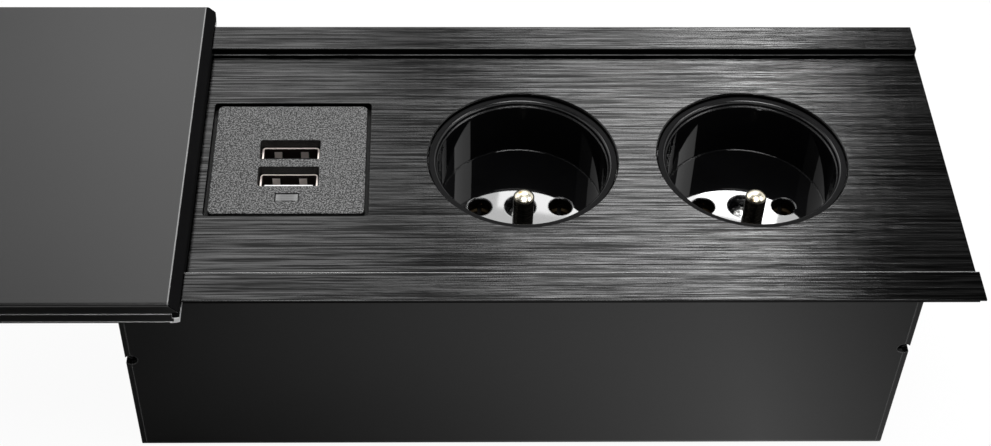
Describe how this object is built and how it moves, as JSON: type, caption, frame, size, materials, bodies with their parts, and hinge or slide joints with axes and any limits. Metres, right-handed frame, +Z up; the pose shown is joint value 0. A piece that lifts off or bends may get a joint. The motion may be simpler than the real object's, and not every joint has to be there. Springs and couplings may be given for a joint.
{
  "type": "desk socket",
  "caption": "Worktop socket with a row of earthed sockets and a charger in a black case, under an aluminium plate with a sliding lid.",
  "frame": {"origin": "middle of the worktop cut-out, in the plane on which the plate rests", "axes": "+X along the plate, the way the lid slides shut; +Y to the rear; +Z up out of the worktop"},
  "size_m": [0.3735, 0.099, 0.0632],
  "materials": {
    "brushed_black_aluminium": "black anodised, brushed along its length",
    "satin_black_aluminium": "black anodised, fine satin",
    "satin_black_steel": "satin black powder coat",
    "gloss_black_plastic": "polished moulding",
    "grained_grey_plastic": "fine spark-eroded grain",
    "matt_black_plastic": "matt moulding",
    "base_moulding": "matt moulding",
    "nickel_brass": "nickel-plated brass",
    "bare_brass": "plain",
    "copper_strip": "plain",
    "bright_steel": "zinc plated",
    "black_screw": "black passivated",
    "shell_steel": "nickel-plated sheet",
    "white_plastic": "plain",
    "lens_plastic": "frosted",
    "green_board": "solder mask",
    "bushing_rubber": "plain"
  },
  "bodies": {
    "unit": {"top_plate": "brushed_black_aluminium", "case_tray": "satin_black_steel", "case_end_left": "satin_black_steel", "case_end_right": "satin_black_steel", "case_end_screws": "black_screw", "case_floor_screws": "black_screw", "live_bar": "copper_strip", "neutral_bar": "copper_strip", "earth_bar": "copper_strip", "terminal_block": "base_moulding", "terminal_screws": "bright_steel", "charger_bezel": "grained_grey_plastic", "charger_housing": "matt_black_plastic", "charger_board": "green_board", "charger_spades": "bare_brass", "pilot_lens": "lens_plastic", "cord_bushing": "bushing_rubber", "lid_stop_pins": "bright_steel", "socket_cup_left": "gloss_black_plastic", "socket_base_left": "base_moulding", "earth_pin_left": "nickel_brass", "socket_screw_left": "bright_steel", "live_contact_left": "bare_brass", "neutral_contact_left": "bare_brass", "socket_cup_right": "gloss_black_plastic", "socket_base_right": "base_moulding", "earth_pin_right": "nickel_brass", "socket_screw_right": "bright_steel", "live_contact_right": "bare_brass", "neutral_contact_right": "bare_brass", "port_shell_rear": "shell_steel", "port_shell_front": "shell_steel", "port_tongue_rear": "matt_black_plastic", "port_tongue_front": "white_plastic", "port_contacts_rear": "bare_brass", "port_contacts_front": "bare_brass"},
    "lid": {"lid_cover": "satin_black_aluminium", "lid_glide_front": "matt_black_plastic", "lid_glide_rear": "matt_black_plastic", "lid_end_strip": "matt_black_plastic", "lid_stop_strip": "matt_black_plastic"}
  },
  "joints": [
    {"name": "lid_slide", "type": "slide", "parent": "unit", "child": "lid", "axis": [1, 0, 0], "range_m": [0, 0.1722]}
  ]
}
